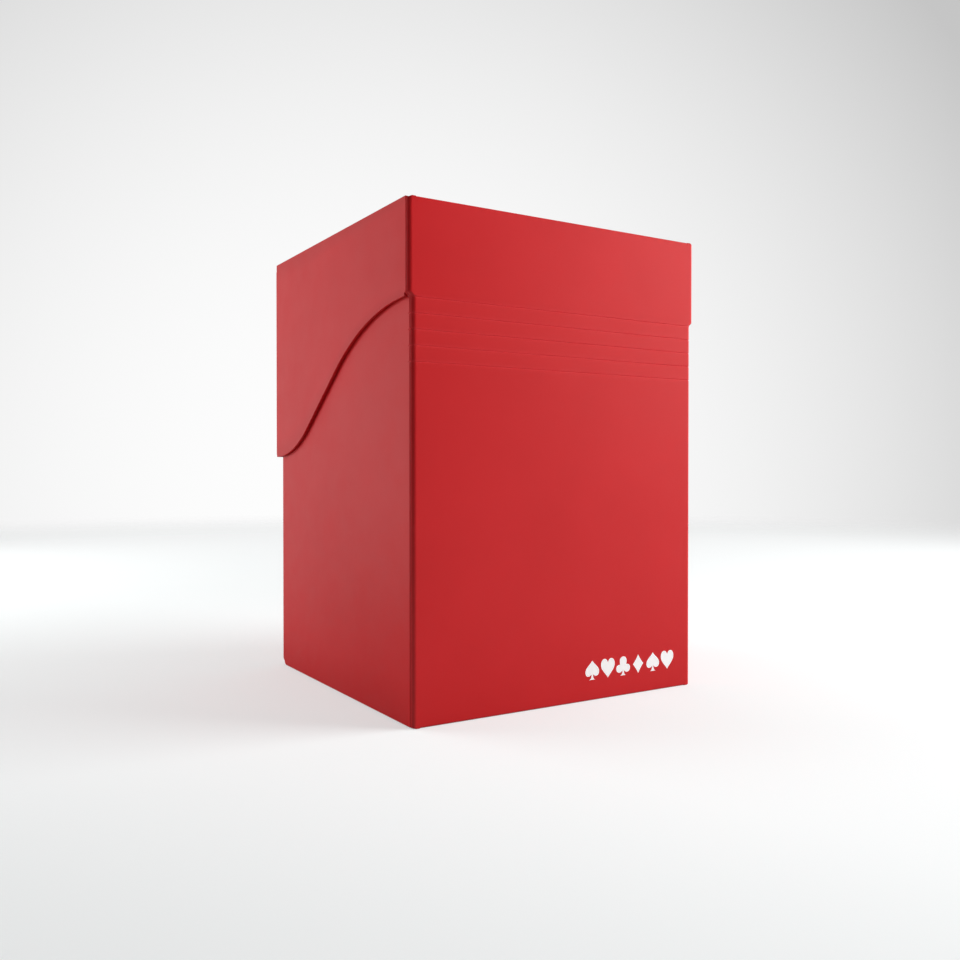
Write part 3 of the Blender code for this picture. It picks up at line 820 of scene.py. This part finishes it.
def pip_outlines():
    """Four generic card pips in a unit square, centred on x = 0 and standing on y = 0."""
    heart = bezier([
        ((0.0, 0.0), (-0.12, 0.2), (-0.46, 0.42)),
        ((-0.46, 0.7), (-0.46, 0.9), (-0.33, 1.0)),
        ((-0.23, 1.0), (-0.1, 1.0), (-0.03, 0.9)),
        ((0.0, 0.78), (0.03, 0.9), (0.1, 1.0)),
        ((0.23, 1.0), (0.33, 1.0), (0.46, 0.9)),
        ((0.46, 0.7), (0.46, 0.42), (0.12, 0.2)),
    ])
    diamond = bezier([
        ((0.0, 0.0), (-0.08, 0.16), (-0.22, 0.36)),
        ((-0.36, 0.5), (-0.22, 0.64), (-0.08, 0.84)),
        ((0.0, 1.0), (0.08, 0.84), (0.22, 0.64)),
        ((0.36, 0.5), (0.22, 0.36), (0.08, 0.16)),
    ])
    spade = bezier([
        ((-0.2, 0.0), (-0.09, 0.03), (-0.05, 0.12)),
        ((-0.045, 0.3), (-0.12, 0.2), (-0.2, 0.19)),
        ((-0.25, 0.19), (-0.37, 0.19), (-0.45, 0.28)),
        ((-0.45, 0.42), (-0.45, 0.66), (-0.12, 0.8)),
        ((0.0, 1.0), (0.12, 0.8), (0.45, 0.66)),
        ((0.45, 0.42), (0.45, 0.28), (0.37, 0.19)),
        ((0.25, 0.19), (0.2, 0.19), (0.12, 0.2)),
        ((0.045, 0.3), (0.05, 0.12), (0.09, 0.03)),
        ((0.2, 0.0), (0.1, 0.0), (-0.1, 0.0)),
    ])
    club = bezier([
        ((-0.2, 0.0), (-0.09, 0.03), (-0.05, 0.12)),
        ((-0.045, 0.3), (-0.1, 0.19), (-0.18, 0.16)),
        ((-0.25, 0.16), (-0.39, 0.16), (-0.47, 0.26)),
        ((-0.47, 0.38), (-0.47, 0.5), (-0.38, 0.6)),
        ((-0.19, 0.58), (-0.23, 0.64), (-0.23, 0.7)),
        ((-0.23, 0.77), (-0.23, 0.9), (-0.13, 1.0)),
        ((0.0, 1.0), (0.13, 1.0), (0.23, 0.9)),
        ((0.23, 0.77), (0.23, 0.7), (0.23, 0.64)),
        ((0.19, 0.58), (0.38, 0.6), (0.47, 0.5)),
        ((0.47, 0.38), (0.47, 0.26), (0.39, 0.16)),
        ((0.25, 0.16), (0.18, 0.16), (0.1, 0.19)),
        ((0.045, 0.3), (0.05, 0.12), (0.09, 0.03)),
        ((0.2, 0.0), (0.1, 0.0), (-0.1, 0.0)),
    ])
    return [spade, heart, club, diamond]


def build_mark(material):
    """A row of card pips printed in white near the rear wall's lower corner."""
    mesh = bmesh.new()
    mesh.verts.layers.float.new("stress_and_painted_light")
    pitch = (MARK_TO - MARK_FROM) / PIPS
    pips = pip_outlines()
    for k in range(PIPS):
        middle = MARK_FROM + pitch * (k + 0.5)
        front, back = [], []
        for x, y in pips[k % len(pips)]:
            at = Vector((middle - x * MARK_TALL, BACK + INK, MARK_LOW + y * MARK_TALL))
            front.append(mesh.verts.new(at))
            back.append(mesh.verts.new(at - Vector((0, 3 * INK, 0))))
        mesh.faces.new(front)
        mesh.faces.new(back[::-1])
        for a in range(len(front)):
            b = (a + 1) % len(front)
            mesh.faces.new((front[b], front[a], back[a], back[b]))
    bmesh.ops.recalc_face_normals(mesh, faces=mesh.faces)
    add_piece("pip_print", mesh, "tray", material)


# ---------------------------------------------------------------- materials


def node(tree, kind, **values):
    """A new node, with the values set on its inputs or, if it has no such input, on the node."""
    made = tree.nodes.new(kind)
    for key, value in values.items():
        if key in made.inputs:
            made.inputs[key].default_value = value
        else:
            setattr(made, key, value)
    return made


def maths(tree, operation, *values, use_clamp=False):
    """A Math node's output. Each value is a number or another node's output."""
    made = node(tree, "ShaderNodeMath", operation=operation, use_clamp=use_clamp)
    for socket, value in zip(made.inputs, values):
        if isinstance(value, float):
            socket.default_value = value
        else:
            tree.links.new(value, socket)
    return made.outputs[0]


def map_range(tree, value, from_min, from_max, to_min, to_max, smooth=True):
    made = node(tree, "ShaderNodeMapRange", interpolation_type="SMOOTHSTEP" if smooth else "LINEAR")
    made.inputs["From Min"].default_value = from_min
    made.inputs["From Max"].default_value = from_max
    made.inputs["To Min"].default_value = to_min
    made.inputs["To Max"].default_value = to_max
    tree.links.new(value, made.inputs["Value"])
    return made.outputs["Result"]


def noise(tree, where, scale, detail, roughness=0.5):
    made = node(tree, "ShaderNodeTexNoise", Scale=scale, Detail=detail, Roughness=roughness)
    tree.links.new(where, made.inputs["Vector"])
    return made.outputs["Fac"]


def ramp(tree, value, start, start_colour, end, end_colour):
    made = node(tree, "ShaderNodeValToRGB")
    made.color_ramp.elements[0].position = start
    made.color_ramp.elements[0].color = (*start_colour, 1)
    made.color_ramp.elements[1].position = end
    made.color_ramp.elements[1].color = (*end_colour, 1)
    tree.links.new(value, made.inputs["Fac"])
    return made.outputs["Color"]


def mix(tree, factor, first, second_colour):
    """Mixes a node's output with a plain colour."""
    made = node(tree, "ShaderNodeMix", data_type="RGBA")
    made.inputs["B"].default_value = (*second_colour, 1)
    tree.links.new(factor, made.inputs["Factor"])
    tree.links.new(first, made.inputs["A"])
    return made.outputs["Result"]


def bump(tree, height, strength, distance):
    made = node(tree, "ShaderNodeBump", Strength=strength, Distance=distance)
    tree.links.new(height, made.inputs["Height"])
    return made.outputs["Normal"]


def new_material(name):
    """A material, its node tree, its shader's inputs and its object coordinates."""
    material = bpy.data.materials.new(name)
    material.use_nodes = True
    tree = material.node_tree
    where = node(tree, "ShaderNodeTexCoord")
    return material, tree, tree.nodes["Principled BSDF"].inputs, where.outputs["Object"]


PAINTED_SHADE_TONE = 0.62               # colour left in the painted shade on scored lines and cut edges
STRESS_AND_HIGHLIGHT_TONE = 2.2               # how much more green and blue where the sheet is stressed and where a highlight is painted on a fold ridge


def polypropylene(name, colour, deep, roughness, grain):
    """Satin sheet: cloudy colour, fine embossed grain, soft haze, stress whitening at creases, a painted
    highlight on fold ridges, and painted shade in scored lines and on cut edges.
    """
    material, tree, shader, where = new_material(name)
    link = tree.links.new
    red, green, blue = colour
    cloud = noise(tree, where, scale=38.0, detail=3.0)
    fine = noise(tree, where, scale=grain, detail=2.0, roughness=0.6)
    tint = ramp(tree, cloud, 0.3, deep, 0.7, colour)
    stress_and_painted_light = node(tree, "ShaderNodeAttribute", attribute_name="stress_and_painted_light").outputs["Fac"]
    # Paler, greener and bluer where the sheet is stressed and where a highlight is painted on a fold ridge.
    paler = maths(tree, "MULTIPLY", stress_and_painted_light, fine, use_clamp=True)
    stress_and_highlight_colour = mix(tree, paler, tint, (min(red * 1.1, 1), green * STRESS_AND_HIGHLIGHT_TONE, blue * STRESS_AND_HIGHLIGHT_TONE))
    # Painted shade: a deeper red in the scored lines and on the cut edges.
    painted_shade = maths(tree, "MULTIPLY", stress_and_painted_light, -1.0, use_clamp=True)
    painted_shade_colour = mix(tree, painted_shade, stress_and_highlight_colour, (red * PAINTED_SHADE_TONE, green * PAINTED_SHADE_TONE / 2, blue * PAINTED_SHADE_TONE / 2))
    link(painted_shade_colour, shader["Base Color"])

    haze = noise(tree, where, scale=160.0, detail=4.0)
    gloss = map_range(tree, haze, 0.3, 0.7, roughness - 0.03, roughness + 0.03, smooth=False)
    link(maths(tree, "MULTIPLY_ADD", paler, 0.05, gloss), shader["Roughness"])
    relief = maths(tree, "MULTIPLY_ADD", cloud, 2.0, fine)
    link(bump(tree, relief, strength=0.35, distance=0.02 * MM), shader["Normal"])
    shader["IOR"].default_value = 1.49
    shader["Specular IOR Level"].default_value = 0.4
    return material


def white_ink():
    """Screen ink: slightly speckled white, with a faint glow so that it stays white in the shade."""
    material, tree, shader, where = new_material("white_screen_ink")
    speck = noise(tree, where, scale=5200.0, detail=2.0)
    tree.links.new(ramp(tree, speck, 0.25, (0.88, 0.85, 0.85), 0.5, (0.97, 0.97, 0.97)), shader["Base Color"])
    tree.links.new(bump(tree, speck, strength=0.3, distance=0.01 * MM), shader["Normal"])
    shader["Roughness"].default_value = 0.5
    shader["Emission Color"].default_value = (1, 1, 1, 1)
    shader["Emission Strength"].default_value = 0.18
    return material


# ---------------------------------------------------------------- camera, floor and light

CAMERA_AT = (0.115187, 0.189697, 0.048146)
YAW = -0.553556                 # heading of the view, in radians from the box's rear
PITCH = 0.010263                # downwards
FORWARD = Vector((math.sin(YAW) * math.cos(PITCH), -math.cos(YAW) * math.cos(PITCH), -math.sin(PITCH)))
RIGHT = Vector((-math.cos(YAW), -math.sin(YAW), 0.0))


def build_camera():
    data = bpy.data.cameras.new("camera")
    data.lens = 35.0
    data.sensor_width = 36.0
    data.clip_start = 0.005
    data.clip_end = 20.0
    camera = bpy.data.objects.new("camera", data)
    bpy.context.scene.collection.objects.link(camera)
    camera.location = CAMERA_AT
    camera.rotation_mode = "QUATERNION"
    camera.rotation_quaternion = FORWARD.to_track_quat("-Z", "Y")
    bpy.context.scene.camera = camera


FLOOR_SEEN = 0.53               # how pale the floor is to the camera
FLOOR_OTHER = 0.48              # and to the object
FLOOR_LIFT = 0.465              # even brightness that only the camera sees, near the box
FLOOR_LIFT_FAR = 0.64           # and further out
FLOOR_Z = -0.02 * MM
FLOOR_RINGS = (0.1, 0.2, 0.35, 0.5, 0.7, 0.9)
FLOOR_SIDES = 96


def build_floor():
    """A round pale floor that fades out towards its rim."""
    mesh = bmesh.new()
    previous = [mesh.verts.new((0, 0, FLOOR_Z))]
    for radius in FLOOR_RINGS:
        turns = [math.tau * k / FLOOR_SIDES for k in range(FLOOR_SIDES)]
        current = [mesh.verts.new((radius * math.cos(a), radius * math.sin(a), FLOOR_Z)) for a in turns]
        for k in range(FLOOR_SIDES):
            after = (k + 1) % FLOOR_SIDES
            if len(previous) == 1:
                mesh.faces.new((previous[0], current[k], current[after]))
            else:
                mesh.faces.new((previous[k], current[k], current[after], previous[after]))
        previous = current
    data = bpy.data.meshes.new("studio_floor")
    mesh.to_mesh(data)
    mesh.free()
    floor = bpy.data.objects.new("studio_floor", data)
    bpy.context.scene.collection.objects.link(floor)

    material, tree, shader, where = new_material("studio_floor")
    link = tree.links.new
    seen = node(tree, "ShaderNodeLightPath").outputs["Is Camera Ray"]
    pale = node(tree, "ShaderNodeMix", data_type="RGBA")
    pale.inputs["A"].default_value = (FLOOR_OTHER, FLOOR_OTHER, FLOOR_OTHER, 1)
    # The camera sees the floor a little less red: this paints out part of the red light that the box bounces
    # onto it.
    pale.inputs["B"].default_value = (FLOOR_SEEN * 0.95, FLOOR_SEEN, FLOOR_SEEN, 1)
    link(seen, pale.inputs["Factor"])
    link(pale.outputs["Result"], shader["Base Color"])
    shader["Emission Color"].default_value = (1, 1, 1, 1)
    shader["Roughness"].default_value = 0.9
    shader["Specular IOR Level"].default_value = 0.0

    length = node(tree, "ShaderNodeVectorMath", operation="LENGTH")
    link(where, length.inputs[0])
    distance = length.outputs["Value"]
    link(map_range(tree, distance, 0.42, 0.85, 1.0, 0.0), shader["Alpha"])
    even = map_range(tree, distance, 0.12, 0.5, FLOOR_LIFT, FLOOR_LIFT_FAR)
    # A little darker towards the camera and to its left.
    nearer = node(tree, "ShaderNodeVectorMath", operation="DOT_PRODUCT")
    link(where, nearer.inputs[0])
    nearer.inputs[1].default_value = (0.79, 0.61, 0.0)
    shade = map_range(tree, nearer.outputs["Value"], 0.04, 0.2, 0.0, 0.2)
    lift = maths(tree, "MULTIPLY", seen, maths(tree, "SUBTRACT", even, shade))
    link(lift, shader["Emission Strength"])
    data.materials.append(material)


ROOM_FAR = 0.74                 # what the object sees: brightness beyond it
ROOM_BEHIND = 0.08              # and behind the camera
ROOM_WALL = 0.8                 # added to the camera's right
ROOM_CEILING = 0.4              # share of it left overhead
BACKDROP_AT = (FORWARD - RIGHT * 0.115 - Vector((0, 0, 0.021))).normalized()
BACKDROP = 0.985                # what the camera sees: brightness at its brightest place
BACKDROP_FALL = 2.72            # how fast it falls off
BACKDROP_BEND = 1.3
BACKDROP_LEAST = 0.56
KEY_POWER = 2.3
FILL_POWER = 1.25
TOP_POWER = 1.3


def build_light():
    scene = bpy.context.scene
    scene.view_settings.view_transform = "Standard"
    scene.view_settings.look = "None"
    scene.view_settings.exposure = 0.0
    scene.view_settings.gamma = 1.0
    world = bpy.data.worlds.new("studio")
    scene.world = world
    world.use_nodes = True
    tree = world.node_tree
    link = tree.links.new
    background = tree.nodes["Background"]
    where = node(tree, "ShaderNodeTexCoord")

    def facing(direction):
        dot = node(tree, "ShaderNodeVectorMath", operation="DOT_PRODUCT")
        dot.inputs[1].default_value = direction
        link(where.outputs["Generated"], dot.inputs[0])
        return dot.outputs["Value"]

    # What the object sees: a pale room, dark behind the camera, with a bright wall to the camera's right.
    room = map_range(tree, facing(-FORWARD), -0.5, 0.45, ROOM_FAR, ROOM_BEHIND)
    wall = map_range(tree, facing(RIGHT), 0.8, 1.0, 0.0, ROOM_WALL)
    higher = map_range(tree, facing(Vector((0, 0, 1))), -0.05, 0.5, 1.0, ROOM_CEILING)
    link(maths(tree, "MULTIPLY", maths(tree, "ADD", room, wall), higher), background.inputs["Color"])
    background.inputs["Strength"].default_value = 1.0

    # What the camera sees: a pale backdrop, brightest behind the box.
    bent = maths(tree, "POWER", maths(tree, "SUBTRACT", 1.0, facing(BACKDROP_AT)), BACKDROP_BEND)
    glow = maths(tree, "MULTIPLY_ADD", bent, -BACKDROP_FALL, BACKDROP)
    seen = node(tree, "ShaderNodeBackground")
    link(maths(tree, "MAXIMUM", glow, BACKDROP_LEAST), seen.inputs["Color"])
    pick = node(tree, "ShaderNodeMixShader")
    link(node(tree, "ShaderNodeLightPath").outputs["Is Camera Ray"], pick.inputs["Fac"])
    link(background.outputs[0], pick.inputs[1])
    link(seen.outputs[0], pick.inputs[2])
    link(pick.outputs[0], tree.nodes["World Output"].inputs["Surface"])

    middle = Vector((0, 0, 0.05))

    def softbox(name, place, size, power):
        data = bpy.data.lights.new(name, "AREA")
        data.shape = "RECTANGLE"
        data.size = data.size_y = size
        data.energy = power
        lamp = bpy.data.objects.new(name, data)
        scene.collection.objects.link(lamp)
        lamp.location = place
        lamp.rotation_mode = "QUATERNION"
        lamp.rotation_quaternion = (middle - place).to_track_quat("-Z", "Y")
        lamp.visible_glossy = False

    softbox("key", middle + RIGHT * 0.4 + Vector((0, 0, 0.18)), 0.3, KEY_POWER)
    softbox("fill", Vector((0.3, -0.3, 0.16)), 0.3, FILL_POWER)
    softbox("top", middle + Vector((0, 0, 0.7)), 0.8, TOP_POWER)


# ---------------------------------------------------------------- assembly

build_camera()
build_floor()
build_light()
SHEET_RED = (0.72, 0.016, 0.020), (0.67, 0.013, 0.016)
HINGE_RED = (0.72, 0.017, 0.021), (0.68, 0.014, 0.017)
DIVIDER_RED = (0.69, 0.015, 0.019), (0.64, 0.012, 0.015)
sheet_red = polypropylene("red_satin_polypropylene", *SHEET_RED, roughness=0.40, grain=2600.0)
hinge_red = polypropylene("red_scored_polypropylene", *HINGE_RED, roughness=0.42, grain=2600.0)
divider_red = polypropylene("red_divider_polypropylene", *DIVIDER_RED, roughness=0.48, grain=2000.0)
build_rear(sheet_red, hinge_red)
build_sides(sheet_red)
build_tray_front(sheet_red)
build_lid_front(sheet_red)
build_tabs(sheet_red)
build_floor_panel(sheet_red)
build_lid_top(sheet_red)
build_divider(divider_red)
build_mark(white_ink())
